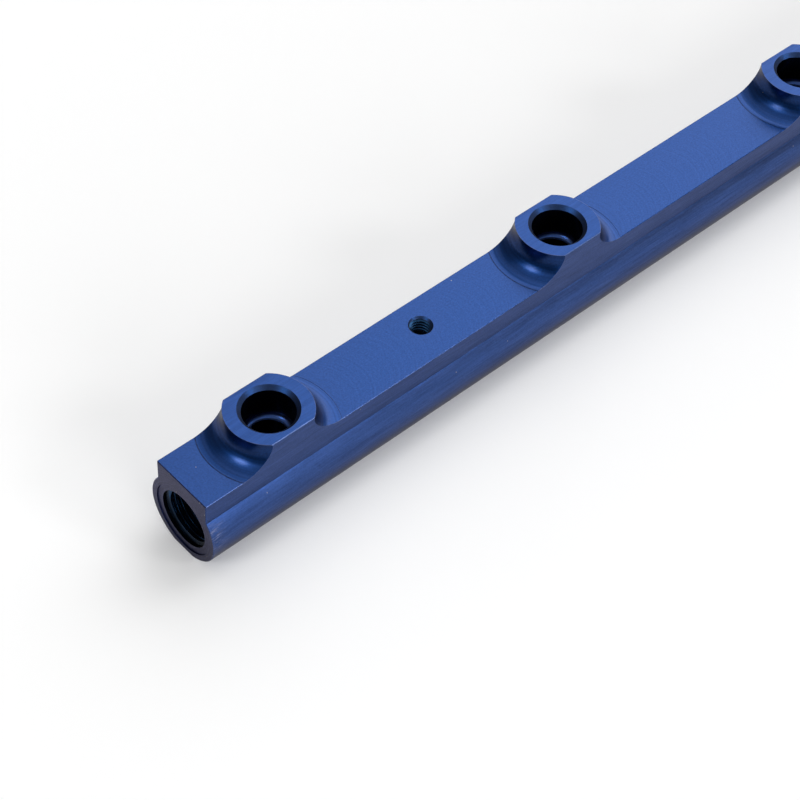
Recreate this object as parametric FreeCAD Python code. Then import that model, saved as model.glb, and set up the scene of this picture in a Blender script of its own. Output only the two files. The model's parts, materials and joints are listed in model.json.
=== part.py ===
# Fuel rail for one bank of a four-cup engine, machined from one extruded aluminium bar.
#
# The bar's section is a round gallery body with a narrower block standing on it. The block is milled down
# between the injector cups, so that each cup is left as a round boss with a wide cove around its foot. Each end
# has a threaded port on the gallery, and two tapped holes in the milled flats take the mounting brackets.
#
# All sizes are in millimetres. X runs along the rail, from the short tail to the long one, Y across it and Z
# out of the cups. The origin is on the flat underside, at the middle of the rail's length and width.

import FreeCAD, Part
import math
import os

# Rail, along its length
CUP_COUNT = 4
CUP_PITCH = 100.0
SHORT_TAIL = 27.4  # from the first cup's axis to the near end
LONG_TAIL = 52.9  # from the last cup's axis to the far end

# Section of the bar
BODY_DIA = 24.2  # round gallery body
FOOT_CUT = 0.5  # how much of the round body the flat underside takes off
BLOCK_WIDTH = 18.8
BLOCK_HEIGHT = 33.0  # underside to the cup faces
EDGE_BREAK = 0.25  # deburred long edges

# Milled flats and coves
BOSS_RISE = 7.3  # cup faces above the milled flats
BOSS_DIA = 23.0
COVE_RADIUS = 6.8
COVE_STEP = 0.12  # the cove tool runs this much below the flat

# Injector cups
CUP_BORE_DIA = 13.7
CUP_MOUTH_DIA = 15.85  # outside of the 45 degree lead-in
CUP_DEPTH = 9.8  # cup face to the seat
SEAT_DROP = 0.9  # height of the conical seat
PASSAGE_DIA = 10.6  # from the seat down into the gallery

# Gallery and end ports
GALLERY_DIA = 13.0
SPOTFACE_DIA = 20.4
SPOTFACE_DEPTH = 0.35
COUNTERBORE_DIA = 16.4
COUNTERBORE_DEPTH = 1.1  # below the spotface
PORT_THREAD_DIA = 16.0
PORT_THREAD_LENGTH = 13.0
DRILL_ANGLE = 118.0  # included angle of the port drill's point

# Tapped holes for the mounting brackets
TAPPED_DIA = 6.0
TAPPED_DEPTH = 5.0  # flat bottom, above the end port's thread
TAPPED_COUNTERSINK = 0.2
TAPPED_SIDE_SHIFT = 1.3  # towards +Y, off the rail's middle plane
FIRST_TAPPED_FROM_CUP = 52.1  # from the first cup's axis, towards the second
LAST_TAPPED_FROM_END = 10.3  # from the far end face

# Worked out from the sizes above
RAIL_LENGTH = SHORT_TAIL + (CUP_COUNT - 1) * CUP_PITCH + LONG_TAIL
NEAR_END_X = -RAIL_LENGTH / 2
FAR_END_X = RAIL_LENGTH / 2
FIRST_CUP_X = NEAR_END_X + SHORT_TAIL
CUP_XS = [FIRST_CUP_X + i * CUP_PITCH for i in range(CUP_COUNT)]
GALLERY_HEIGHT = BODY_DIA / 2 - FOOT_CUT
FLAT_HEIGHT = BLOCK_HEIGHT - BOSS_RISE
COVE_OUTER_RADIUS = BOSS_DIA / 2 + COVE_RADIUS
TOOL_OVERRUN = 2.0  # how far every cutting tool passes the faces it cuts through

X_AXIS = FreeCAD.Vector(1, 0, 0)
Z_AXIS = FreeCAD.Vector(0, 0, 1)


def closed_face(edges):
    """The flat face inside a closed run of edges."""
    return Part.Face(Part.Wire(edges))


def polygon_face(points):
    """The flat face inside a closed polygon."""
    return Part.Face(Part.makePolygon(points + points[:1]))


def turned(profile, place, axis):
    """A turned solid. The profile lists (radius, distance along the axis) pairs, and closes on the axis."""
    start = (0.0, profile[0][1])
    end = (0.0, profile[-1][1])
    points = [FreeCAD.Vector(radius, 0, along) for radius, along in [start, *profile, end]]
    solid = polygon_face(points).revolve(FreeCAD.Vector(), Z_AXIS, 360)
    solid.Placement = FreeCAD.Placement(place, FreeCAD.Rotation(Z_AXIS, axis))
    return solid


def drill_point_length(diameter):
    """How far a drill's cone reaches past the straight wall of its hole."""
    return diameter / 2 / math.tan(math.radians(DRILL_ANGLE / 2))


def bar_profile():
    """End view of the extruded bar: flat underside, round body and the block on top, with broken edges."""
    body_radius = BODY_DIA / 2
    half_width = BLOCK_WIDTH / 2
    foot_half = math.sqrt(body_radius**2 - GALLERY_HEIGHT**2)
    shoulder = GALLERY_HEIGHT + math.sqrt(body_radius**2 - half_width**2)

    def point(y, z):
        return FreeCAD.Vector(NEAR_END_X, y, z)

    def body_arc(side, low, high):
        widest = point(side * body_radius, GALLERY_HEIGHT)
        return Part.Arc(low, widest, high).toShape()

    foot_right = point(foot_half, 0)
    foot_left = point(-foot_half, 0)
    shoulder_right = point(half_width, shoulder)
    shoulder_left = point(-half_width, shoulder)
    top = [
        shoulder_right,
        point(half_width, BLOCK_HEIGHT - EDGE_BREAK),
        point(half_width - EDGE_BREAK, BLOCK_HEIGHT),
        point(-half_width + EDGE_BREAK, BLOCK_HEIGHT),
        point(-half_width, BLOCK_HEIGHT - EDGE_BREAK),
        shoulder_left,
    ]
    block_edges = [Part.makeLine(a, b) for a, b in zip(top, top[1:])]
    return closed_face(
        [
            Part.makeLine(foot_left, foot_right),
            body_arc(1, foot_right, shoulder_right),
            *block_edges,
            body_arc(-1, shoulder_left, foot_left),
        ]
    )


def extruded_bar():
    """The bar as it is cut to length."""
    return bar_profile().extrude(X_AXIS * RAIL_LENGTH)


def flat_cutter():
    """What the face mill takes off between the cups, down to the flats, with their long edges broken."""
    half_width = BLOCK_WIDTH / 2
    outside = half_width + TOOL_OVERRUN
    start = NEAR_END_X - TOOL_OVERRUN
    top = BLOCK_HEIGHT + TOOL_OVERRUN
    outline = [
        (-outside, top),
        (-outside, FLAT_HEIGHT - EDGE_BREAK - TOOL_OVERRUN),
        (-half_width + EDGE_BREAK, FLAT_HEIGHT),
        (half_width - EDGE_BREAK, FLAT_HEIGHT),
        (outside, FLAT_HEIGHT - EDGE_BREAK - TOOL_OVERRUN),
        (outside, top),
    ]
    face = polygon_face([FreeCAD.Vector(start, y, z) for y, z in outline])
    cutter = face.extrude(X_AXIS * (RAIL_LENGTH + 2 * TOOL_OVERRUN))
    deep = FLAT_HEIGHT - EDGE_BREAK - 2 * TOOL_OVERRUN
    for x in CUP_XS:
        kept = Part.makeCylinder(
            COVE_OUTER_RADIUS, top - deep + TOOL_OVERRUN, FreeCAD.Vector(x, 0, deep)
        )
        cutter = cutter.cut(kept)
    return cutter


def cove_cutter(x):
    """What the cove mill takes off around one boss: a ring with a quarter-round inner foot."""
    boss_radius = BOSS_DIA / 2
    floor = FLAT_HEIGHT - COVE_STEP
    top = BLOCK_HEIGHT + TOOL_OVERRUN
    arc_top = floor + COVE_RADIUS
    slope = math.sqrt(0.5)

    def point(radius, z):
        return FreeCAD.Vector(radius, 0, z)

    quarter = Part.Arc(
        point(boss_radius, arc_top),
        point(COVE_OUTER_RADIUS - COVE_RADIUS * slope, arc_top - COVE_RADIUS * slope),
        point(COVE_OUTER_RADIUS, floor),
    )
    section = closed_face(
        [
            Part.makeLine(point(boss_radius, top), point(boss_radius, arc_top)),
            quarter.toShape(),
            Part.makeLine(point(COVE_OUTER_RADIUS, floor), point(COVE_OUTER_RADIUS, top)),
            Part.makeLine(point(COVE_OUTER_RADIUS, top), point(boss_radius, top)),
        ]
    )
    ring = section.revolve(FreeCAD.Vector(), Z_AXIS, 360)
    ring.translate(FreeCAD.Vector(x, 0, 0))
    return ring


def cup_cutter(x):
    """One injector cup: lead-in, O-ring bore, conical seat and the passage down to the gallery."""
    bore_radius = CUP_BORE_DIA / 2
    mouth_radius = CUP_MOUTH_DIA / 2
    passage_radius = PASSAGE_DIA / 2
    lead_in = mouth_radius - bore_radius
    profile = [
        (mouth_radius + TOOL_OVERRUN, BLOCK_HEIGHT + TOOL_OVERRUN),
        (bore_radius, BLOCK_HEIGHT - lead_in),
        (bore_radius, BLOCK_HEIGHT - CUP_DEPTH),
        (passage_radius, BLOCK_HEIGHT - CUP_DEPTH - SEAT_DROP),
        (passage_radius, GALLERY_HEIGHT),
    ]
    return turned(profile, FreeCAD.Vector(x, 0, 0), Z_AXIS)


def gallery_cutter():
    """The fuel gallery, drilled from end to end."""
    start = FreeCAD.Vector(NEAR_END_X - TOOL_OVERRUN, 0, GALLERY_HEIGHT)
    return Part.makeCylinder(GALLERY_DIA / 2, RAIL_LENGTH + 2 * TOOL_OVERRUN, start, X_AXIS)


def port_cutter(end_x, outward):
    """One end port: spotface for the washer, counterbore, thread at its root size and the drilled step."""
    thread_radius = PORT_THREAD_DIA / 2
    counterbore_radius = COUNTERBORE_DIA / 2
    counterbore_end = SPOTFACE_DEPTH + COUNTERBORE_DEPTH
    thread_start = counterbore_end + counterbore_radius - thread_radius
    thread_end = thread_start + PORT_THREAD_LENGTH
    step = drill_point_length(PORT_THREAD_DIA) - drill_point_length(GALLERY_DIA)
    profile = [
        (SPOTFACE_DIA / 2, TOOL_OVERRUN),
        (SPOTFACE_DIA / 2, -SPOTFACE_DEPTH),
        (counterbore_radius, -SPOTFACE_DEPTH),
        (counterbore_radius, -counterbore_end),
        (thread_radius, -thread_start),
        (thread_radius, -thread_end),
        (GALLERY_DIA / 2, -thread_end - step),
    ]
    return turned(profile, FreeCAD.Vector(end_x, 0, GALLERY_HEIGHT), outward)


def tapped_hole_cutter(x):
    """One bracket hole: countersink and thread at its root size, down to a flat bottom."""
    radius = TAPPED_DIA / 2
    profile = [
        (radius + TAPPED_COUNTERSINK + TOOL_OVERRUN, TOOL_OVERRUN),
        (radius, -TAPPED_COUNTERSINK),
        (radius, -TAPPED_DEPTH),
    ]
    return turned(profile, FreeCAD.Vector(x, TAPPED_SIDE_SHIFT, FLAT_HEIGHT), Z_AXIS)


def rail_body():
    """The finished rail, one solid."""
    tapped_xs = [FIRST_CUP_X + FIRST_TAPPED_FROM_CUP, FAR_END_X - LAST_TAPPED_FROM_END]
    cutters = [flat_cutter(), gallery_cutter()]
    cutters += [cove_cutter(x) for x in CUP_XS]
    cutters += [cup_cutter(x) for x in CUP_XS]
    cutters += [port_cutter(NEAR_END_X, -X_AXIS), port_cutter(FAR_END_X, X_AXIS)]
    cutters += [tapped_hole_cutter(x) for x in tapped_xs]
    rail = extruded_bar()
    for cutter in cutters:
        rail = rail.cut(cutter)
    return rail.removeSplitter()


def export_part(name, shape):
    """Write one node after checking that it is one valid closed solid."""
    if not shape.isValid() or len(shape.Solids) != 1:
        raise ValueError(f"{name} is not one valid solid")
    shape.Solids[0].exportStep(os.path.join("parts", f"{name}.step"))


def main():
    os.makedirs("parts", exist_ok=True)
    rail = rail_body()
    export_part("rail_body", rail)
    box = rail.BoundBox
    print("size", round(box.XLength, 3), round(box.YLength, 3), round(box.ZLength, 3))
    print("low", round(box.XMin, 3), round(box.YMin, 3), round(box.ZMin, 3))
    print("volume", round(rail.Volume / 1000, 2), "cm3, first cup at x =", round(FIRST_CUP_X, 3))


main()
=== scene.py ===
# Blue anodised fuel rail: the finished look of the machined rail, with its cut threads and its studio.

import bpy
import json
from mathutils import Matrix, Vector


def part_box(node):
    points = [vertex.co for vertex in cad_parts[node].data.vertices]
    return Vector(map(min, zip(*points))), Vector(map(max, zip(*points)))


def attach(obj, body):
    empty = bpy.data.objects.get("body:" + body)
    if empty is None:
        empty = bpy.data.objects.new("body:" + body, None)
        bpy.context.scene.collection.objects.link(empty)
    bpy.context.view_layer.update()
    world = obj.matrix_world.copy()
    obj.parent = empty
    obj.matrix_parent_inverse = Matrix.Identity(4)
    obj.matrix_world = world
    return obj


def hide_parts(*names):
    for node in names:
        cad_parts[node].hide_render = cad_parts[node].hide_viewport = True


bl_info = {
    "name": "Anodised fuel rail",
    "version": (1, 0, 0),
    "blender": (4, 5, 0),
    "location": "3D View > Sidebar > Fuel rail",
    "description": "Machines a fuel rail from an extruded bar, anodises it and sets it in a small studio",
    "category": "Object",
}

import json
import math
from contextlib import contextmanager

import bmesh
import bpy
from mathutils import Quaternion, Vector

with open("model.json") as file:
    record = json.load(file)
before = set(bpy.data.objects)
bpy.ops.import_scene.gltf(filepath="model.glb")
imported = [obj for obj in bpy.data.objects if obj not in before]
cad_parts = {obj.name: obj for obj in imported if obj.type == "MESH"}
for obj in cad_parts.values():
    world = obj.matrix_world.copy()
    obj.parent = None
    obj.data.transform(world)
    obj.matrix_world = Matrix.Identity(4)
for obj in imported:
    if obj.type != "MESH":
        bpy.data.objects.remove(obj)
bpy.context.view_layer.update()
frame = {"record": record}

RAIL_LOW, RAIL_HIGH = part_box("rail_body")
RAIL_LENGTH = RAIL_HIGH.x - RAIL_LOW.x
MOUNTS = {mount["name"]: mount for mount in frame["record"]["mounts"]}
CUPS = [MOUNTS[name] for name in sorted(MOUNTS) if name.startswith("cup_")]
BRACKET_HOLES = [MOUNTS[name] for name in sorted(MOUNTS) if name.startswith("bracket_hole_")]
PORTS = [MOUNTS["near_port"], MOUNTS["far_port"]]

MM = 0.001
QUARTER_TURN = math.pi / 2
FULL_TURN = 2 * math.pi
OVERRUN = 2 * MM  # how far every cutting tool passes the faces it cuts through
WELD_GAP = 1e-6  # points closer than this are one
THREAD_CREST_SHARE = 1 / 4  # flat on top of a thread, of its pitch
THREAD_ROOT_SHARE = 1 / 8
THREAD_HEIGHT_SHARE = 0.5413  # height of the thread, of its pitch
FLAT_ANGLE = 0.002  # faces closer to one plane than this are one face
SMOOTH_ANGLE = math.radians(28)


def mount_radius(mount):
    """The radius that the record gives for a round mount, in metres."""
    return mount["dims"]["r_mm"] * MM


def length_property(name, description, millimetres):
    """A size that a user may change, kept in metres."""
    return bpy.props.FloatProperty(
        name=name,
        description=description,
        default=millimetres * MM,
        min=0.0,
        precision=5,
        subtype="DISTANCE",
        unit="LENGTH",
    )


def colour_property(name, description, colour):
    """A linear colour that a user may change."""
    return bpy.props.FloatVectorProperty(
        name=name,
        description=description,
        default=colour,
        min=0.0,
        max=1.0,
        subtype="COLOR",
        size=3,
    )


def share_property(name, description, value):
    """A share from none to all."""
    return bpy.props.FloatProperty(
        name=name, description=description, default=value, min=0.0, max=1.0, subtype="FACTOR"
    )


def angle_property(name, description, degrees):
    """An angle that a user may change."""
    return bpy.props.FloatProperty(
        name=name, description=description, default=math.radians(degrees), subtype="ANGLE"
    )


class FuelRailSizes(bpy.types.PropertyGroup):
    """Sizes of the bar and of what is machined into it."""

    body_diameter: length_property("Body diameter", "Round gallery body of the bar", 24.2)
    block_width: length_property("Block width", "Block that stands on the round body", 18.8)
    edge_break: length_property("Edge break", "Rounded long edges of the block", 0.25)
    flat_edge_break: length_property("Flat edge break", "Deburred long edges of the flats", 0.13)
    end_break: length_property("End break", "Deburred outline of the ends", 0.18)
    boss_rise: length_property("Boss rise", "Cup faces above the milled flats", 7.3)
    boss_diameter: length_property("Boss diameter", "Round ends of each cup's boss", 23.0)
    cove_radius: length_property("Cove radius", "Hollow foot around each boss", 6.8)
    cove_step: length_property("Cove step", "How far the cove tool runs below the flats", 0.07)
    cup_mouth: length_property("Cup mouth", "Outside of the cup's lead-in", 15.85)
    cup_depth: length_property("Cup depth", "Cup face to the seat", 9.8)
    seat_radius: length_property("Seat radius", "Rounding from the bore to the passage", 1.5)
    passage_diameter: length_property("Passage diameter", "From the seat to the gallery", 10.6)
    gallery_diameter: length_property("Gallery diameter", "Fuel gallery along the rail", 13.0)
    spotface_diameter: length_property("Spotface diameter", "Washer face round the port", 20.4)
    spotface_depth: length_property("Spotface depth", "Washer face below the rail's end", 0.35)
    counterbore_diameter: length_property("Counterbore diameter", "Mouth of the port", 16.4)
    counterbore_depth: length_property("Counterbore depth", "Below the washer face", 1.1)
    port_lead_in: length_property("Port lead-in", "Depth of the cone before the thread", 0.45)
    port_thread_length: length_property("Port thread length", "Length of full thread", 13.0)
    port_pitch: length_property("Port pitch", "Pitch of the port's thread", 1.5)
    hole_pitch: length_property("Hole pitch", "Pitch of the bracket holes' thread", 1.0)
    hole_depth: length_property("Hole depth", "Depth of the bracket holes", 5.0)
    hole_countersink: length_property("Hole countersink", "Broken edge of the bracket holes", 0.32)


class FuelRailFinish(bpy.types.PropertyGroup):
    """Colours of the dyed aluminium and of its wear."""

    dye: colour_property("Dye", "Blue of the anodised metal", (0.002, 0.042, 0.2))
    pale_dye: colour_property("Pale dye", "Edges where the dye is thin", (0.22, 0.24, 0.38))
    # The ends' dye: greyer as cut faces, and darker as painted shade.
    end_dye_and_shade: colour_property("Cut dye", "Ends, which take less dye", (0.009, 0.0165, 0.082))
    drawn_dye: colour_property("Drawn dye", "Sides and underside", (0.011, 0.046, 0.188))
    rubbed_dye: colour_property("Rubbed dye", "Long edges of the bosses", (0.03, 0.07, 0.22))
    turned_dye: colour_property("Turned dye", "Lead-ins of the cups", (0.002, 0.03, 0.125))
    # Painted shade: the insides of the bores are coloured nearly black.
    painted_bore_shade: colour_property("Bore dye", "Insides of the bores", (0.007, 0.022, 0.05))
    tapped_dye: colour_property("Tapped dye", "Cut threads", (0.014, 0.06, 0.15))
    dust_colour: colour_property("Dust colour", "Specks of dust", (0.35, 0.34, 0.30))
    dust: share_property("Dust", "How well the specks show", 0.6)
    haze: share_property("Haze", "Pale sheen of the sealed oxide over the dye", 0.47)
    grazing_tint: colour_property("Grazing tint", "Metal seen at a slant", (0.63, 0.59, 0.52))
    # Painted shade: how dark inner corners are made, from ambient occlusion.
    corner_shade: share_property("Corner dark", "How dark inner corners go", 0.35)
    # Painted shade: how far the colour and sheen are darkened towards the floor.
    underside_shade: share_property("Underside dark", "How dull the metal is near the floor", 0.42)
    scuffs: share_property("Scuffs", "How well handling marks show near the ends", 0.5)
    scuffed_length: length_property("Scuffed length", "Scuffed stretch at each end", 6.0)
    edge_reach: length_property("Edge reach", "How far wear reaches in from an edge", 0.22)
    edge_rounding: length_property("Edge rounding", "How far an edge looks rounded", 0.1)


class FuelRailStudio(bpy.types.PropertyGroup):
    """Camera, lamps and floor."""

    camera_place: bpy.props.FloatVectorProperty(
        name="Camera place",
        description="Where the camera stands, from the middle of the rail's underside",
        default=(-0.37152, -0.24765, 0.41509),
        subtype="TRANSLATION",
        unit="LENGTH",
        size=3,
    )
    camera_azimuth: angle_property("Camera azimuth", "0 looks along +Y, 90 along -X", -45.737)
    camera_elevation: angle_property("Camera elevation", "Above the horizon", 49.320)
    camera_roll: angle_property("Camera roll", "Tilt about the line of sight", 4.490)
    camera_lens: bpy.props.FloatProperty(
        name="Lens",
        description="Focal length on a sensor 36 mm wide",
        default=92.503,
        subtype="DISTANCE_CAMERA",
    )
    floor_colour: colour_property("Floor colour", "Pale paper under the rail", (0.88, 0.88, 0.88))
    floor_lift: share_property("Floor lift", "Plain white added to the lit floor", 0.12)
    room_colour: colour_property("Room colour", "Dim room around the lamps", (0.13, 0.13, 0.13))


def deselect_all():
    """Operators act on all that is selected, so each piece starts from nothing selected."""
    bpy.ops.object.select_all(action="DESELECT")


def make_active(piece):
    """Select one piece alone and make it the active one."""
    deselect_all()
    piece.select_set(True)
    bpy.context.view_layer.objects.active = piece


def named(name):
    """Name the primitive that was just added."""
    piece = bpy.context.active_object
    piece.name = name
    piece.data.name = name
    return piece


@contextmanager
def editing(piece):
    """Edit mode on one piece, with nothing selected at the start."""
    make_active(piece)
    bpy.ops.object.mode_set(mode="EDIT")
    bpy.ops.mesh.select_all(action="DESELECT")
    yield bmesh.from_edit_mesh(piece.data)
    bpy.ops.object.mode_set(mode="OBJECT")


def select_edges(piece, mesh, wanted):
    """Select the edges that a test picks by their middle point."""
    bpy.ops.mesh.select_mode(type="EDGE")
    for edge in mesh.edges:
        middle = (edge.verts[0].co + edge.verts[1].co) / 2
        edge.select_set(wanted(middle, edge))
    bmesh.update_edit_mesh(piece.data)


def apply_place(piece):
    """Move a piece's place into its mesh, so that its object sits at the origin."""
    make_active(piece)
    bpy.ops.object.transform_apply(location=True, rotation=True, scale=True)


def face_outwards(piece):
    """Merge doubled points and turn every face outwards."""
    with editing(piece):
        bpy.ops.mesh.select_all(action="SELECT")
        bpy.ops.mesh.remove_doubles(threshold=WELD_GAP)
        bpy.ops.mesh.normals_make_consistent(inside=False)


def block(name, low, high):
    """A plain block between two corners."""
    deselect_all()
    bpy.ops.mesh.primitive_cube_add(size=1, location=(low + high) / 2)
    piece = named(name)
    piece.scale = high - low
    apply_place(piece)
    return piece


def turned_tool(name, place, turn, profile, sides):
    """A turned solid. The profile lists (radius, distance along the axis) from one end to the other."""
    first_radius, first_along = profile[0]
    deselect_all()
    bpy.ops.mesh.primitive_circle_add(
        vertices=sides, radius=first_radius, fill_type="NGON", location=(0, 0, first_along)
    )
    tool = named(name)
    apply_place(tool)
    with editing(tool):
        bpy.ops.mesh.select_all(action="SELECT")
        for (radius, along), (next_radius, next_along) in zip(profile, profile[1:]):
            step = next_along - along
            grow = next_radius / radius
            bpy.ops.mesh.extrude_region_move(TRANSFORM_OT_translate={"value": (0, 0, step)})
            bpy.ops.transform.resize(value=(grow, grow, 1), center_override=(0, 0, next_along))
    tool.rotation_euler = turn
    tool.location = place
    apply_place(tool)
    face_outwards(tool)
    return tool


def thread_tool(name, place, turn, root_radius, pitch, start, end, sides):
    """What a tap leaves room for: a rod with a helical ridge, from start to end along its axis."""
    crest_radius = root_radius - THREAD_HEIGHT_SHARE * pitch
    crest = THREAD_CREST_SHARE * pitch
    root = THREAD_ROOT_SHARE * pitch
    flank = (pitch - crest - root) / 2
    rise = root_radius - crest_radius
    deselect_all()
    bpy.ops.mesh.primitive_plane_add(size=MM, location=(crest_radius, 0, start - 2 * pitch))
    tool = named(name)
    apply_place(tool)
    with editing(tool):
        bpy.ops.mesh.select_mode(type="VERT")
        bpy.ops.mesh.select_all(action="SELECT")
        bpy.ops.mesh.merge(type="CENTER")
        for step in ((0, 0, crest), (rise, 0, flank), (0, 0, root), (-rise, 0, flank)):
            bpy.ops.mesh.extrude_vertices_move(TRANSFORM_OT_translate={"value": step})
    bpy.ops.object.modifier_add(type="SCREW")
    screw = tool.modifiers[-1]
    screw.axis = "Z"
    screw.screw_offset = pitch
    screw.iterations = math.ceil((end - start) / pitch) + 3
    screw.steps = sides
    screw.render_steps = sides
    bpy.ops.object.modifier_apply(modifier=screw.name)
    face_outwards(tool)
    trim(tool, (0, 0, start), (0, 0, -1))
    trim(tool, (0, 0, end), (0, 0, 1))
    tool.rotation_euler = turn
    tool.location = place
    apply_place(tool)
    face_outwards(tool)
    return tool


def trim(piece, point, outward):
    """Saw a piece off at a plane and close the cut."""
    with editing(piece):
        bpy.ops.mesh.select_all(action="SELECT")
        bpy.ops.mesh.bisect(
            plane_co=point, plane_no=outward, use_fill=True, clear_outer=True, threshold=WELD_GAP
        )


def joined(pieces):
    """Several like tools as one object."""
    make_active(pieces[0])
    for piece in pieces:
        piece.select_set(True)
    bpy.ops.object.join()
    return pieces[0]


def in_triangles(piece):
    """Clear away the slivers of earlier cuts, then leave triangles: they are flat, so they cut exactly."""
    with editing(piece):
        bpy.ops.mesh.select_all(action="SELECT")
        bpy.ops.mesh.dissolve_limited(angle_limit=FLAT_ANGLE, delimit={"MATERIAL"})
        bpy.ops.mesh.select_all(action="SELECT")
        bpy.ops.mesh.remove_doubles(threshold=WELD_GAP)
        bpy.ops.mesh.quads_convert_to_tris(quad_method="BEAUTY", ngon_method="BEAUTY")


def combine(piece, tool, operation):
    """Join a tool to a piece or cut it away. What a tool cuts takes the tool's finish."""
    in_triangles(piece)
    in_triangles(tool)
    make_active(piece)
    bpy.ops.object.modifier_add(type="BOOLEAN")
    modifier = piece.modifiers[-1]
    modifier.operation = operation
    modifier.object = tool
    modifier.solver = "EXACT"
    modifier.material_mode = "TRANSFER"
    bpy.ops.object.modifier_apply(modifier=modifier.name)
    bpy.data.objects.remove(tool)
    if not piece.data.polygons:
        raise RuntimeError(f"nothing is left of {piece.name}")


def cut(piece, tool, finish):
    """Cut a tool away from a piece and give the cut its finish."""
    tool.data.materials.clear()
    tool.data.materials.append(finish)
    combine(piece, tool, "DIFFERENCE")


def refinish(piece, finish, wanted):
    """Give the faces that a test picks another finish."""
    if finish.name not in piece.data.materials:
        piece.data.materials.append(finish)
    with editing(piece) as mesh:
        bpy.ops.mesh.select_mode(type="FACE")
        for face in mesh.faces:
            face.select_set(wanted(face))
        bmesh.update_edit_mesh(piece.data)
        piece.active_material_index = piece.data.materials.find(finish.name)
        bpy.ops.object.material_slot_assign()


def cup_places():
    """The axes of the injector cups, as x along the rail."""
    return [cup["pos_m"][0] for cup in CUPS]


def rail_piece():
    """The rail that the operators machine."""
    rail = bpy.data.objects.get("fuel_rail")
    if rail is None:
        raise RuntimeError("the bar is not there yet: run its operator first")
    return rail


def outward_turn(mount):
    """The turn that lays a tool's +Z along a mount's axis, which is +Z or along the rail."""
    along = mount["axis"][0]
    return (0, math.copysign(QUARTER_TURN, along), 0) if along else (0, 0, 0)


class OBJECT_OT_fuel_rail_bar(bpy.types.Operator):
    """Extrude the bar: a round gallery body with a block on top, cut to length"""

    bl_idname = "object.fuel_rail_bar"
    bl_label = "Bar"

    def execute(self, context):
        sizes = context.scene.fuel_rail_sizes
        radius = sizes.body_diameter / 2
        middle = PORTS[0]["pos_m"][2]
        deselect_all()
        bpy.ops.mesh.primitive_cylinder_add(
            vertices=240,
            radius=radius,
            depth=RAIL_LENGTH + 2 * OVERRUN,
            location=(0, 0, middle),
            rotation=(0, QUARTER_TURN, 0),
        )
        bar = named("fuel_rail")
        apply_place(bar)
        trim(bar, (0, 0, RAIL_LOW.z), (0, 0, -1))
        half_width = sizes.block_width / 2
        reach = RAIL_HIGH.x + OVERRUN
        top = block(
            "top_block",
            Vector((-reach, -half_width, middle)),
            Vector((reach, half_width, RAIL_HIGH.z)),
        )
        with editing(top) as mesh:
            select_edges(top, mesh, lambda at, edge: at.x == 0 and at.z > middle + OVERRUN)
            bpy.ops.mesh.bevel(offset=sizes.edge_break, segments=3, affect="EDGES")
        combine(bar, top, "UNION")
        trim(bar, (RAIL_LOW.x, 0, 0), (-1, 0, 0))
        trim(bar, (RAIL_HIGH.x, 0, 0), (1, 0, 0))
        bar.data.materials.clear()
        bar.data.materials.append(brushed_finish())
        refinish(bar, faced_finish(), lambda face: abs(face.normal.x) > 0.9)
        edge_foot = RAIL_HIGH.z - sizes.edge_break - MM / 100

        def on_rounded_edge(face):
            return 0.1 < face.normal.z < 0.99 and min(point.co.z for point in face.verts) > edge_foot

        refinish(bar, rubbed_finish(), on_rounded_edge)
        return {"FINISHED"}


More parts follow.
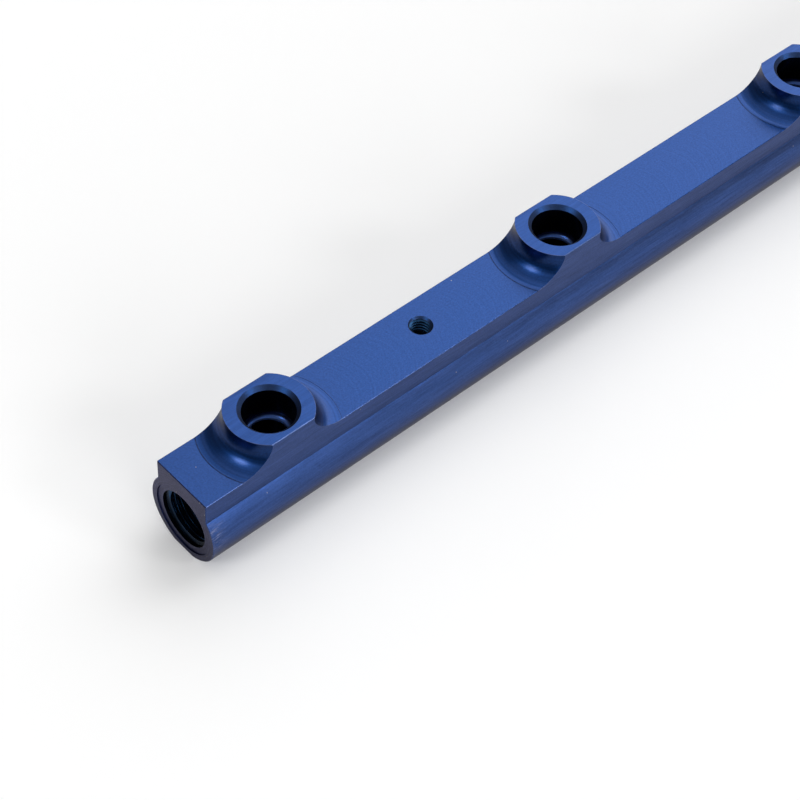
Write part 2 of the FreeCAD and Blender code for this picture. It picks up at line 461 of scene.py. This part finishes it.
class OBJECT_OT_fuel_rail_flats(bpy.types.Operator):
    """Mill the flats and the coves, and leave each cup as a round boss"""

    bl_idname = "object.fuel_rail_flats"
    bl_label = "Flats and coves"

    def execute(self, context):
        sizes = context.scene.fuel_rail_sizes
        rail = rail_piece()
        flat = RAIL_HIGH.z - sizes.boss_rise
        cut(rail, self.flat_tool(sizes, flat), milled_finish())
        coves = [self.cove_tool(sizes, flat - sizes.cove_step, x) for x in cup_places()]
        cut(rail, joined(coves), milled_finish())
        self.break_end_outlines(rail, sizes.end_break)
        refinish(rail, boss_finish(), self.on_boss_top)
        return {"FINISHED"}

    @staticmethod
    def on_boss_top(face):
        """Whether a face lies on top of a boss."""
        return face.normal.z > 0.9 and min(point.co.z for point in face.verts) > RAIL_HIGH.z - WELD_GAP

    @staticmethod
    def break_end_outlines(rail, offset):
        """A small flat all round the outline of both ends."""

        def on_outline(middle, edge):
            if abs(middle.x) < RAIL_HIGH.x - WELD_GAP or len(edge.link_faces) != 2:
                return False
            return any(abs(face.normal.x) < 0.5 for face in edge.link_faces)

        in_triangles(rail)
        with editing(rail) as mesh:
            select_edges(rail, mesh, on_outline)
            bpy.ops.mesh.bevel(offset=offset, segments=1, affect="EDGES")

    @staticmethod
    def flat_tool(sizes, flat):
        """The face mill's sweep, with flared sides that break the flats' long edges."""
        half_width = sizes.block_width / 2
        flare = sizes.flat_edge_break + OVERRUN
        reach = RAIL_HIGH.x + OVERRUN
        bottom = flat - flare
        top = RAIL_HIGH.z + OVERRUN
        tool = block(
            "flat_tool",
            Vector((-reach, -half_width - OVERRUN, bottom)),
            Vector((reach, half_width + OVERRUN, top)),
        )
        inner = half_width - sizes.flat_edge_break
        for side in (-1, 1):
            with editing(tool):
                bpy.ops.mesh.select_all(action="SELECT")
                bpy.ops.mesh.bisect(
                    plane_co=(0, side * inner, 0), plane_no=(0, 1, 0), threshold=WELD_GAP
                )
        with editing(tool) as mesh:
            bpy.ops.mesh.select_mode(type="VERT")
            for point in mesh.verts:
                point.select_set(point.co.z < flat and abs(point.co.y) < half_width)
            bmesh.update_edit_mesh(tool.data)
            bpy.ops.transform.translate(value=(0, 0, flare))
        rounds = []
        for x in cup_places():
            deselect_all()
            bpy.ops.mesh.primitive_cylinder_add(
                vertices=240,
                radius=sizes.boss_diameter / 2 + sizes.cove_radius - MM / 5,
                depth=4 * sizes.boss_rise,
                location=(x, 0, flat),
            )
            rounds.append(named("kept_round"))
            apply_place(rounds[-1])
        combine(tool, joined(rounds), "DIFFERENCE")
        return tool

    @staticmethod
    def cove_tool(sizes, floor, x):
        """The cove mill's sweep round one boss: a ring whose inner foot is a quarter round."""
        inner = sizes.boss_diameter / 2
        outer = inner + sizes.cove_radius
        top = RAIL_HIGH.z + OVERRUN
        deselect_all()
        bpy.ops.mesh.primitive_plane_add(
            size=1,
            location=(x + (inner + outer) / 2, 0, (floor + top) / 2),
            rotation=(QUARTER_TURN, 0, 0),
        )
        tool = named("cove_tool")
        tool.scale = (outer - inner, top - floor, 1)
        apply_place(tool)
        with editing(tool) as mesh:
            bpy.ops.mesh.select_mode(type="VERT")
            for point in mesh.verts:
                point.select_set(point.co.x < x + inner + MM and point.co.z < floor + MM)
            bmesh.update_edit_mesh(tool.data)
            bpy.ops.mesh.bevel(offset=sizes.cove_radius, segments=32, affect="VERTICES", clamp_overlap=False)
            bpy.ops.mesh.select_all(action="SELECT")
            bpy.ops.mesh.delete(type="ONLY_FACE")
            bpy.ops.mesh.select_all(action="SELECT")
            bpy.ops.mesh.spin(steps=240, angle=FULL_TURN, center=(x, 0, 0), axis=(0, 0, 1))
        face_outwards(tool)
        return tool


class OBJECT_OT_fuel_rail_cups(bpy.types.Operator):
    """Bore the injector cups down to their seats, and on into the gallery"""

    bl_idname = "object.fuel_rail_cups"
    bl_label = "Injector cups"

    def execute(self, context):
        sizes = context.scene.fuel_rail_sizes
        rail = rail_piece()
        mouth = sizes.cup_mouth / 2
        passage = sizes.passage_diameter / 2
        foot = sizes.seat_radius
        seat_top = RAIL_HIGH.z - sizes.cup_depth + 0.6 * foot
        gallery = PORTS[0]["pos_m"][2]
        tools = []
        for cup in CUPS:
            bore = mount_radius(cup)
            rounding = [
                (
                    bore - foot * (1 - math.cos(turn)),
                    seat_top - foot * math.sin(turn),
                )
                for turn in (QUARTER_TURN * step / 8 for step in range(9))
            ]
            profile = [
                (mouth + OVERRUN, RAIL_HIGH.z + OVERRUN),
                (bore, RAIL_HIGH.z - (mouth - bore)),
                *rounding,
                (passage, seat_top - foot),
                (passage, gallery),
            ]
            place = (cup["pos_m"][0], 0, 0)
            tools.append(turned_tool("cup_tool", place, (0, 0, 0), profile, 180))
        cut(rail, joined(tools), bored_finish())
        bored = rail.data.materials.find(bored_finish().name)
        lead_in = RAIL_HIGH.z - (mouth - bore) - MM / 100

        def in_lead_in(face):
            lowest = min(point.co.z for point in face.verts)
            return face.material_index == bored and lowest > lead_in

        def on_seat(face):
            heights = [point.co.z for point in face.verts]
            within = min(heights) > seat_top - 2 * foot and max(heights) < seat_top + MM / 100
            return face.material_index == bored and within

        refinish(rail, turned_finish(), in_lead_in)
        refinish(rail, seat_finish(), on_seat)
        return {"FINISHED"}


class OBJECT_OT_fuel_rail_ports(bpy.types.Operator):
    """Drill the gallery, and spotface, bore and tap both end ports"""

    bl_idname = "object.fuel_rail_ports"
    bl_label = "Gallery and end ports"

    def execute(self, context):
        sizes = context.scene.fuel_rail_sizes
        rail = rail_piece()
        gallery = sizes.gallery_diameter / 2
        reach = RAIL_HIGH.x + OVERRUN
        middle = PORTS[0]["pos_m"][2]
        profile = [(gallery, -reach), (gallery, reach)]
        drill = turned_tool("gallery_drill", (0, 0, middle), (0, QUARTER_TURN, 0), profile, 120)
        cut(rail, drill, bored_finish())
        mouth = sizes.counterbore_diameter / 2
        floor = sizes.spotface_depth
        shelf = floor + sizes.counterbore_depth
        for port in PORTS:
            turn = outward_turn(port)
            end = (math.copysign(RAIL_HIGH.x, port["axis"][0]), 0, middle)
            root = mount_radius(port)
            bore = root - THREAD_HEIGHT_SHARE * sizes.port_pitch - MM / 20
            thread_end = shelf + mouth - root + sizes.port_thread_length
            face = [(sizes.spotface_diameter / 2, OVERRUN), (sizes.spotface_diameter / 2, -floor)]
            cut(rail, turned_tool("spotface_tool", end, turn, face, 240), faced_finish())
            profile = [
                (mouth, OVERRUN),
                (mouth, -shelf),
                (bore, -shelf - sizes.port_lead_in),
                (bore, -thread_end),
                (gallery, -thread_end - (bore - gallery)),
            ]
            cut(rail, turned_tool("port_tool", end, turn, profile, 180), bored_finish())
            tap = thread_tool(
                "port_tap", end, turn, root, sizes.port_pitch, -thread_end, -floor, 120
            )
            cut(rail, tap, tapped_finish())
        return {"FINISHED"}


class OBJECT_OT_fuel_rail_bracket_holes(bpy.types.Operator):
    """Drill, countersink and tap the bracket holes in the flats"""

    bl_idname = "object.fuel_rail_bracket_holes"
    bl_label = "Bracket holes"

    def execute(self, context):
        sizes = context.scene.fuel_rail_sizes
        rail = rail_piece()
        flat = RAIL_HIGH.z - sizes.boss_rise
        for hole in BRACKET_HOLES:
            place = (hole["pos_m"][0], hole["pos_m"][1], flat)
            root = mount_radius(hole)
            bore = root - THREAD_HEIGHT_SHARE * sizes.hole_pitch - MM / 20
            mouth = root + sizes.hole_countersink
            profile = [
                (mouth + OVERRUN, OVERRUN),
                (bore, bore - mouth),
                (bore, -sizes.hole_depth),
            ]
            cut(rail, turned_tool("hole_tool", place, (0, 0, 0), profile, 96), bored_finish())
            start = -sizes.hole_depth + sizes.hole_pitch / 2
            tap = thread_tool("hole_tap", place, (0, 0, 0), root, sizes.hole_pitch, start, OVERRUN, 96)
            cut(rail, tap, tapped_finish())
        bored = rail.data.materials.find(bored_finish().name)

        def in_countersink(face):
            lowest = min(point.co.z for point in face.verts)
            return face.material_index == bored and lowest > flat - MM

        refinish(rail, turned_finish(), in_countersink)
        return {"FINISHED"}


class OBJECT_OT_fuel_rail_finish(bpy.types.Operator):
    """Clean the machined mesh, smooth it and let it stand for the rail"""

    bl_idname = "object.fuel_rail_finish"
    bl_label = "Anodised finish"

    def execute(self, context):
        rail = rail_piece()
        face_outwards(rail)
        make_active(rail)
        bpy.ops.object.shade_smooth_by_angle(angle=SMOOTH_ANGLE)
        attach(rail, "root")
        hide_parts("rail_body")
        return {"FINISHED"}


class OBJECT_OT_fuel_rail_studio(bpy.types.Operator):
    """Set the camera, the lamps, the floor and the dim room"""

    bl_idname = "object.fuel_rail_studio"
    bl_label = "Studio"

    def execute(self, context):
        studio = context.scene.fuel_rail_studio
        context.scene.view_settings.view_transform = "Standard"
        self.camera(context, studio)
        self.lamp("left_lamp", azimuth=176, elevation=38, width=19, radiance=6.6)
        self.lamp("front_lamp", azimuth=-64, elevation=30, width=14, radiance=11)
        self.lamp("low_front_lamp", azimuth=-93, elevation=8, width=45, radiance=4.6)
        self.lamp("back_lamp", azimuth=15, elevation=40, width=64, radiance=1.4)
        self.lamp("back_glow", azimuth=25, elevation=45, width=100, radiance=0.5)
        self.lamp("top_glow", azimuth=-175, elevation=68, width=70, radiance=0.4)
        self.floor(studio)
        self.room(context, studio)
        return {"FINISHED"}

    @staticmethod
    def camera(context, studio):
        """The camera, from its place, its direction and its tilt."""
        deselect_all()
        bpy.ops.object.camera_add(location=studio.camera_place)
        camera = named("camera")
        level = math.cos(studio.camera_elevation)
        back = Vector(
            (
                math.sin(studio.camera_azimuth) * level,
                -math.cos(studio.camera_azimuth) * level,
                math.sin(studio.camera_elevation),
            )
        )
        camera.rotation_mode = "QUATERNION"
        roll = Quaternion((0, 0, 1), studio.camera_roll)
        camera.rotation_quaternion = back.to_track_quat("Z", "Y") @ roll
        camera.data.sensor_width = 36
        camera.data.lens = studio.camera_lens
        camera.data.clip_start = 0.01
        context.scene.camera = camera

    @staticmethod
    def lamp(name, azimuth, elevation, width, radiance):
        """A far round lamp. Azimuth runs from +X towards +Y, and all angles are in degrees."""
        turn = math.radians(azimuth)
        rise = math.radians(elevation)
        towards = Vector(
            (math.cos(turn) * math.cos(rise), math.sin(turn) * math.cos(rise), math.sin(rise))
        )
        deselect_all()
        bpy.ops.object.light_add(type="SUN", location=towards)
        lamp = named(name)
        lamp.rotation_mode = "QUATERNION"
        lamp.rotation_quaternion = towards.to_track_quat("Z", "Y")
        half = math.radians(width / 2)
        lamp.data.angle = 2 * half
        lamp.data.energy = radiance * math.pi * math.sin(half) ** 2

    @staticmethod
    def floor(studio):
        """The paper that the rail lies on, which keeps the rail's shadow."""
        deselect_all()
        bpy.ops.mesh.primitive_plane_add(size=40)
        floor = named("floor")
        floor.data.materials.append(floor_paper(studio))

    @staticmethod
    def room(context, studio):
        """The dim room, as the world's colour."""
        world = bpy.data.worlds.new("room")
        world.use_nodes = True
        background = world.node_tree.nodes["Background"]
        background.inputs["Color"].default_value = (*studio.room_colour, 1)
        context.scene.world = world


class Nodes:
    """Adds nodes to a tree. An input given as a socket is linked, and one given as a value is set."""

    def __init__(self, tree):
        self.tree = tree

    def add(self, kind, inputs=None, **settings):
        """A new shader node, with its settings and its inputs by name or number."""
        node = self.tree.nodes.new("ShaderNode" + kind)
        for name, value in settings.items():
            setattr(node, name, value)
        for socket, value in (inputs or {}).items():
            if isinstance(value, bpy.types.NodeSocket):
                self.tree.links.new(value, node.inputs[socket])
            else:
                node.inputs[socket].default_value = value
        return node

    def math(self, operation, *values, clamp=False):
        """The result of a sum, a product and the like."""
        inputs = dict(enumerate(values))
        return self.add("Math", inputs, operation=operation, use_clamp=clamp).outputs[0]

    def product(self, *values):
        """All values multiplied."""
        result = values[0]
        for value in values[1:]:
            result = self.math("MULTIPLY", result, value)
        return result

    def ramp(self, value, low, high):
        """A smooth step from 0 at low to 1 at high."""
        inputs = {"Value": value, "From Min": low, "From Max": high}
        return self.add("MapRange", inputs, interpolation_type="SMOOTHSTEP").outputs["Result"]

    def mix(self, factor, first, second):
        """One colour going over into another."""
        node = self.add("Mix", {"Factor": factor}, data_type="RGBA")
        for socket, value in zip((node.inputs[6], node.inputs[7]), (first, second)):
            if isinstance(value, bpy.types.NodeSocket):
                self.tree.links.new(value, socket)
            else:
                socket.default_value = (*value, 1)
        return node.outputs[2]

    def place(self):
        """Where on the object a point lies, in metres."""
        return self.add("TexCoord").outputs["Object"]

    def place_parts(self):
        """The same place as x, y and z."""
        return self.add("SeparateXYZ", {0: self.place()}).outputs

    def effect(self, group, inputs=None):
        """The outputs of a shared effect."""
        return self.add("Group", inputs, node_tree=group).outputs


def shared_effect(name, inputs, outputs, fill):
    """A node group that every material can use. It is made once, and fill() makes its inside."""
    group = bpy.data.node_groups.get(name)
    if group:
        return group
    group = bpy.data.node_groups.new(name, "ShaderNodeTree")
    for label in inputs:
        group.interface.new_socket(name=label, in_out="INPUT", socket_type="NodeSocketFloat")
    for label, kind in outputs.items():
        group.interface.new_socket(name=label, in_out="OUTPUT", socket_type=kind)
    given = group.nodes.new("NodeGroupInput").outputs
    made = group.nodes.new("NodeGroupOutput").inputs
    for label, socket in fill(Nodes(group), given).items():
        group.links.new(socket, made[label])
    return group


def grain():
    """Even fine grain, as etching leaves it."""

    def fill(nodes, given):
        inputs = {
            "Vector": nodes.place(),
            "Scale": nodes.math("DIVIDE", 1, given["Size"]),
            "Detail": 2,
            "Roughness": 0.6,
        }
        return {"Height": nodes.add("TexNoise", inputs).outputs["Fac"]}

    return shared_effect("grain", ["Size"], {"Height": "NodeSocketFloat"}, fill)


def streaks():
    """Drawing lines along the bar."""

    def fill(nodes, given):
        along = nodes.math("DIVIDE", 1, given["Length"])
        across = nodes.math("DIVIDE", 1, given["Width"])
        squeeze = nodes.add("CombineXYZ", {"X": along, "Y": across, "Z": across}).outputs[0]
        place = nodes.add("VectorMath", {0: nodes.place(), 1: squeeze}, operation="MULTIPLY")
        inputs = {"Vector": place.outputs[0], "Scale": 1, "Detail": 3, "Roughness": 0.65}
        return {"Height": nodes.add("TexNoise", inputs).outputs["Fac"]}

    return shared_effect("streaks", ["Length", "Width"], {"Height": "NodeSocketFloat"}, fill)


def rings():
    """Turning or milling marks: lines of equal distance from an axis or an edge."""

    def fill(nodes, given):
        inputs = {
            "W": nodes.math("DIVIDE", given["Distance"], given["Width"]),
            "Scale": 1,
            "Detail": 2,
        }
        noise = nodes.add("TexNoise", inputs, noise_dimensions="1D")
        return {"Height": noise.outputs["Fac"]}

    return shared_effect("rings", ["Distance", "Width"], {"Height": "NodeSocketFloat"}, fill)


def specks():
    """Sparse dust: balls spread through the space around the object, where they meet its surface."""

    def fill(nodes, given):
        inputs = {"Vector": nodes.place(), "Scale": nodes.math("DIVIDE", 1, given["Spacing"])}
        cells = nodes.add("TexVoronoi", inputs)
        distance = nodes.product(cells.outputs["Distance"], given["Spacing"])
        return {"Mask": nodes.math("LESS_THAN", distance, given["Size"])}

    return shared_effect("specks", ["Spacing", "Size"], {"Mask": "NodeSocketFloat"}, fill)


def edges():
    """Outer edges worn pale, inner corners darkened as painted shade, and both rounded for the light."""

    def fill(nodes, given):
        rounded = nodes.add("Bevel", {"Radius": given["Rounding"]}, samples=6)
        reach = {"Distance": given["Reach"]}
        below = nodes.add("AmbientOcclusion", reach, samples=8, inside=True, only_local=True)
        above = nodes.add("AmbientOcclusion", reach, samples=8, only_local=True)
        return {
            "Worn": nodes.math("SUBTRACT", 1, below.outputs["AO"]),
            "Corner": nodes.math("SUBTRACT", 1, above.outputs["AO"]),
            "Normal": rounded.outputs["Normal"],
        }

    outputs = {
        "Worn": "NodeSocketFloat",
        "Corner": "NodeSocketFloat",
        "Normal": "NodeSocketVector",
    }
    return shared_effect("edges", ["Reach", "Rounding"], outputs, fill)


def from_nearest_cup():
    """The distance from the axis of the nearest cup."""

    def fill(nodes, given):
        first, second = cup_places()[:2]
        pitch = second - first
        x, y, z = nodes.place_parts()
        steps = nodes.math("FLOORED_MODULO", nodes.math("SUBTRACT", x, first - pitch / 2), pitch)
        along = nodes.math("SUBTRACT", steps, pitch / 2)
        squares = nodes.math("ADD", nodes.product(along, along), nodes.product(y, y))
        return {"Radius": nodes.math("SQRT", squares), "Along": along}

    outputs = {"Radius": "NodeSocketFloat", "Along": "NodeSocketFloat"}
    return shared_effect("from_nearest_cup", [], outputs, fill)


def drawn_pattern(nodes):
    """Lines drawn along the bar by the extrusion die, over a trace of grain."""
    fine = nodes.effect(streaks(), {"Length": 9 * MM, "Width": 0.35 * MM})["Height"]
    broad = nodes.effect(streaks(), {"Length": 30 * MM, "Width": 1.6 * MM})["Height"]
    even = nodes.effect(grain(), {"Size": 0.5 * MM})["Height"]
    lines = nodes.math("ADD", nodes.product(fine, 0.45), nodes.product(broad, 0.3))
    return nodes.math("ADD", lines, nodes.product(even, 0.25))


def milled_pattern(nodes):
    """Fine grain over the arcs of the face mill, and rings where the cove tool went round,
    with a painted shadow line along the cove step on each cup's -X side and painted shade in the cove next
    to each boss.
    """
    x, y, z = nodes.place_parts()
    mill_radius = 12 * MM
    sag = nodes.math("SQRT", nodes.math("SUBTRACT", mill_radius**2, nodes.product(y, y)))
    arcs = nodes.effect(rings(), {"Distance": nodes.math("SUBTRACT", x, sag), "Width": 0.6 * MM})
    cup = nodes.effect(from_nearest_cup())
    radius = cup["Radius"]
    turns = nodes.effect(rings(), {"Distance": radius, "Width": 0.5 * MM})
    sizes = bpy.context.scene.fuel_rail_sizes
    outer = sizes.boss_diameter / 2 + sizes.cove_radius
    flat_share = nodes.math("GREATER_THAN", radius, outer)
    cove_share = nodes.math("SUBTRACT", 1, flat_share)
    marks = nodes.math(
        "ADD",
        nodes.product(arcs["Height"], flat_share, 0.25),
        nodes.product(turns["Height"], cove_share, 0.5),
    )
    even = nodes.effect(grain(), {"Size": 0.45 * MM})["Height"]
    grain_share = nodes.math("ADD", 0.5, nodes.product(flat_share, 0.25))
    from_step = nodes.math("ABSOLUTE", nodes.math("SUBTRACT", radius, outer))
    # Painted shadow: a dark line in colour and relief along the cove's step, on each cup's -X side only.
    painted_step_shade = nodes.math("SUBTRACT", 1, nodes.ramp(from_step, 0.1 * MM, 0.28 * MM))
    near_side = nodes.math("LESS_THAN", cup["Along"], 0)
    marks = nodes.math("SUBTRACT", marks, nodes.product(painted_step_shade, near_side, 0.55))
    # Painted shade: the cove goes darker next to the foot of the boss.
    painted_foot_shade = nodes.math("SUBTRACT", 1, nodes.ramp(radius, 12.2 * MM, 13.6 * MM))
    marks = nodes.math("SUBTRACT", marks, nodes.product(painted_foot_shade, 0.45))
    return nodes.math("ADD", marks, nodes.product(even, grain_share))


def faced_pattern(nodes):
    """Rings of the end mill round the port."""
    x, y, z = nodes.place_parts()
    up = nodes.math("SUBTRACT", z, PORTS[0]["pos_m"][2])
    squares = nodes.math("ADD", nodes.product(y, y), nodes.product(up, up))
    distance = nodes.math("SQRT", squares)
    turns = nodes.effect(rings(), {"Distance": distance, "Width": 0.4 * MM})["Height"]
    even = nodes.effect(grain(), {"Size": 0.5 * MM})["Height"]
    return nodes.math("ADD", nodes.product(turns, 0.4), nodes.product(even, 0.6))


def bored_pattern(nodes):
    """Plain grain, for the insides of the bores."""
    return nodes.effect(grain(), {"Size": 0.4 * MM})["Height"]


def end_scuffs(nodes, finish):
    """Handling marks along the bar, close to its ends."""
    x, y, z = nodes.place_parts()
    from_middle = nodes.math("ABSOLUTE", x)
    near_end = nodes.ramp(from_middle, RAIL_HIGH.x - finish.scuffed_length, RAIL_HIGH.x)
    marks = nodes.effect(streaks(), {"Length": 2.5 * MM, "Width": 0.4 * MM})["Height"]
    on_body = nodes.ramp(z, 19 * MM, 17.5 * MM)
    return nodes.product(nodes.ramp(marks, 0.42, 0.7), near_end, on_body, finish.scuffs)


def anodised(
    name,
    dye,
    roughness,
    pattern,
    contrast,
    relief,
    wear=0.1,
    haze=1,
    softness=0.3,
    corner_shade_share=1,
    shade_below=1,
    speck_gap=6,
    scuffed=False,
):
    """A finish of the dyed metal.

    Contrast and relief say how far its pattern shows, haze and softness how strong and how soft
    its pale sheen is, corner_shade_share and shade_below how much painted shade it takes in inner corners
    and towards the floor, and speck_gap (in mm) how it gathers dust.
    """
    found = bpy.data.materials.get(name)
    if found:
        return found
    finish = bpy.context.scene.fuel_rail_finish
    material = bpy.data.materials.new(name)
    material.use_nodes = True
    material.node_tree.nodes.clear()
    nodes = Nodes(material.node_tree)
    height = pattern(nodes)
    off_middle = nodes.math("SUBTRACT", height, 0.5)
    edge = nodes.effect(edges(), {"Reach": finish.edge_reach, "Rounding": finish.edge_rounding})
    patchy = nodes.effect(grain(), {"Size": 2.5 * MM})["Height"]
    worn = nodes.product(nodes.ramp(edge["Worn"], 0.08, 0.5), nodes.ramp(patchy, 0.25, 0.55), wear)
    if scuffed:
        worn = nodes.math("MAXIMUM", worn, end_scuffs(nodes, finish))
    colour = nodes.mix(worn, dye, finish.pale_dye)
    dust = nodes.effect(specks(), {"Spacing": speck_gap * MM, "Size": 0.16 * MM})["Mask"]
    colour = nodes.mix(nodes.product(dust, finish.dust), colour, finish.dust_colour)
    tone = nodes.math("ADD", 1, nodes.product(off_middle, contrast))
    # Painted shade: inner corners are darkened where ambient occlusion finds the surface hemmed in.
    dark = nodes.product(nodes.ramp(edge["Corner"], 0.1, 0.5), finish.corner_shade * corner_shade_share)
    tone = nodes.product(tone, nodes.math("SUBTRACT", 1, dark))
    # Painted shade: from 14 mm above the floor down to 5 mm the colour and sheen darken, standing in for
    # shade near the floor.
    off_floor = nodes.ramp(nodes.place_parts()["Z"], 5 * MM, 14 * MM)
    dull = nodes.product(nodes.math("SUBTRACT", 1, off_floor), finish.underside_shade * shade_below)
    tone = nodes.product(tone, nodes.math("SUBTRACT", 1, dull))
    colour = nodes.add("VectorMath", {0: colour, "Scale": tone}, operation="SCALE").outputs[0]
    bump = {"Height": height, "Distance": relief, "Normal": edge["Normal"]}
    shader = nodes.add(
        "BsdfPrincipled",
        {
            "Base Color": colour,
            "Metallic": 1,
            "Roughness": nodes.math("ADD", roughness, nodes.product(worn, 0.3)),
            "Normal": nodes.add("Bump", bump).outputs["Normal"],
            "Specular Tint": (*finish.grazing_tint, 1),
            "Coat Weight": nodes.product(tone, finish.haze * haze),
            "Coat Roughness": softness,
        },
    )
    nodes.add("OutputMaterial", {"Surface": shader.outputs["BSDF"]})
    return material


def brushed_finish():
    """Sides and underside: the bar's own drawn surface."""
    dye = bpy.context.scene.fuel_rail_finish.drawn_dye
    return anodised(
        "brushed_anodised", dye, 0.33, drawn_pattern, 2.2, 0.05 * MM, wear=0.45, softness=0.5, scuffed=True
    )


def rubbed_finish():
    """Long edges of the bosses, where handling has thinned the dye."""
    dye = bpy.context.scene.fuel_rail_finish.rubbed_dye
    return anodised("rubbed_anodised", dye, 0.3, drawn_pattern, 1.2, 0.01 * MM, wear=0.6, haze=1.3)


def boss_finish():
    """Boss tops, drawn too but rubbed finer."""
    dye = bpy.context.scene.fuel_rail_finish.dye
    return anodised("boss_anodised", dye, 0.33, drawn_pattern, 1.5, 0.03 * MM, wear=0.35, softness=0.25)


def milled_finish():
    """Flats and coves, satin from the mill and the etch."""
    dye = bpy.context.scene.fuel_rail_finish.dye
    return anodised(
        "milled_anodised", dye, 0.35, milled_pattern, 1.15, 0.014 * MM, wear=0.3, softness=0.23, corner_shade_share=0.3
    )


def turned_finish():
    """Lead-ins of the cups and bracket holes, made matt by the turning marks."""
    dye = bpy.context.scene.fuel_rail_finish.turned_dye
    return anodised("turned_anodised", dye, 0.38, bored_pattern, 0.5, 0.002 * MM, haze=1.1, softness=0.5)


def seat_finish():
    """The cups' seats, which catch some light from above."""
    dye = bpy.context.scene.fuel_rail_finish.dye
    return anodised("seat_anodised", dye, 0.24, bored_pattern, 0.5, 0.002 * MM, haze=2.1, softness=0.35)


def faced_finish():
    """Sawn and faced ends, greyer than the rest, and darker than it as painted shade."""
    dye = bpy.context.scene.fuel_rail_finish.end_dye_and_shade
    return anodised(
        "faced_anodised",
        dye,
        0.42,
        faced_pattern,
        2,
        0.01 * MM,
        haze=0.85,
        softness=0.38,
        corner_shade_share=0.3,
        # The ends take half of the painted shade towards the floor.
        shade_below=0.5,
        speck_gap=2.4,
    )


def bored_finish():
    """Cups, gallery and ports, painted nearly black as shade inside the bores."""
    dye = bpy.context.scene.fuel_rail_finish.painted_bore_shade
    return anodised("bored_anodised", dye, 0.25, bored_pattern, 0.3, 0.002 * MM, haze=0.5)


def tapped_finish():
    """Threads, which shine where the tap cut them."""
    dye = bpy.context.scene.fuel_rail_finish.tapped_dye
    return anodised("tapped_anodised", dye, 0.25, bored_pattern, 0.3, 0.002 * MM, haze=0.3)


def floor_paper(studio):
    """Pale paper: its lit colour, and plain white added where the camera, gloss or glass sees it."""
    material = bpy.data.materials.new("floor_paper")
    material.use_nodes = True
    material.node_tree.nodes.clear()
    nodes = Nodes(material.node_tree)
    paper = nodes.add("BsdfDiffuse", {"Color": (*studio.floor_colour, 1)})
    path = nodes.add("LightPath").outputs
    seen = nodes.math("ADD", path["Is Camera Ray"], path["Is Glossy Ray"])
    seen = nodes.math("ADD", seen, path["Is Transmission Ray"])
    glow = nodes.add("Emission", {"Strength": nodes.product(seen, studio.floor_lift)})
    both = nodes.add("AddShader", {0: paper.outputs["BSDF"], 1: glow.outputs["Emission"]})
    nodes.add("OutputMaterial", {"Surface": both.outputs["Shader"]})
    return material


class VIEW3D_PT_fuel_rail(bpy.types.Panel):
    """The rail's steps, sizes and colours in the sidebar"""

    bl_idname = "VIEW3D_PT_fuel_rail"
    bl_label = "Fuel rail"
    bl_space_type = "VIEW_3D"
    bl_region_type = "UI"
    bl_category = "Fuel rail"

    def draw(self, context):
        for step in STEPS:
            self.layout.operator(step.bl_idname)
        for group in ("fuel_rail_sizes", "fuel_rail_finish", "fuel_rail_studio"):
            settings = getattr(context.scene, group)
            box = self.layout.box()
            for name in settings.bl_rna.properties.keys():
                if name not in ("rna_type", "name"):
                    box.prop(settings, name)


STEPS = (
    OBJECT_OT_fuel_rail_bar,
    OBJECT_OT_fuel_rail_flats,
    OBJECT_OT_fuel_rail_cups,
    OBJECT_OT_fuel_rail_ports,
    OBJECT_OT_fuel_rail_bracket_holes,
    OBJECT_OT_fuel_rail_finish,
    OBJECT_OT_fuel_rail_studio,
)
CLASSES = (FuelRailSizes, FuelRailFinish, FuelRailStudio, *STEPS, VIEW3D_PT_fuel_rail)


def register():
    for cls in CLASSES:
        bpy.utils.register_class(cls)
    bpy.types.Scene.fuel_rail_sizes = bpy.props.PointerProperty(type=FuelRailSizes)
    bpy.types.Scene.fuel_rail_finish = bpy.props.PointerProperty(type=FuelRailFinish)
    bpy.types.Scene.fuel_rail_studio = bpy.props.PointerProperty(type=FuelRailStudio)


def unregister():
    del bpy.types.Scene.fuel_rail_studio
    del bpy.types.Scene.fuel_rail_finish
    del bpy.types.Scene.fuel_rail_sizes
    for cls in reversed(CLASSES):
        bpy.utils.unregister_class(cls)


def main():
    """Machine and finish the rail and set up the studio."""
    register()
    bpy.ops.object.fuel_rail_bar()
    bpy.ops.object.fuel_rail_flats()
    bpy.ops.object.fuel_rail_cups()
    bpy.ops.object.fuel_rail_ports()
    bpy.ops.object.fuel_rail_bracket_holes()
    bpy.ops.object.fuel_rail_finish()
    bpy.ops.object.fuel_rail_studio()


if __name__ == "__main__":
    main()
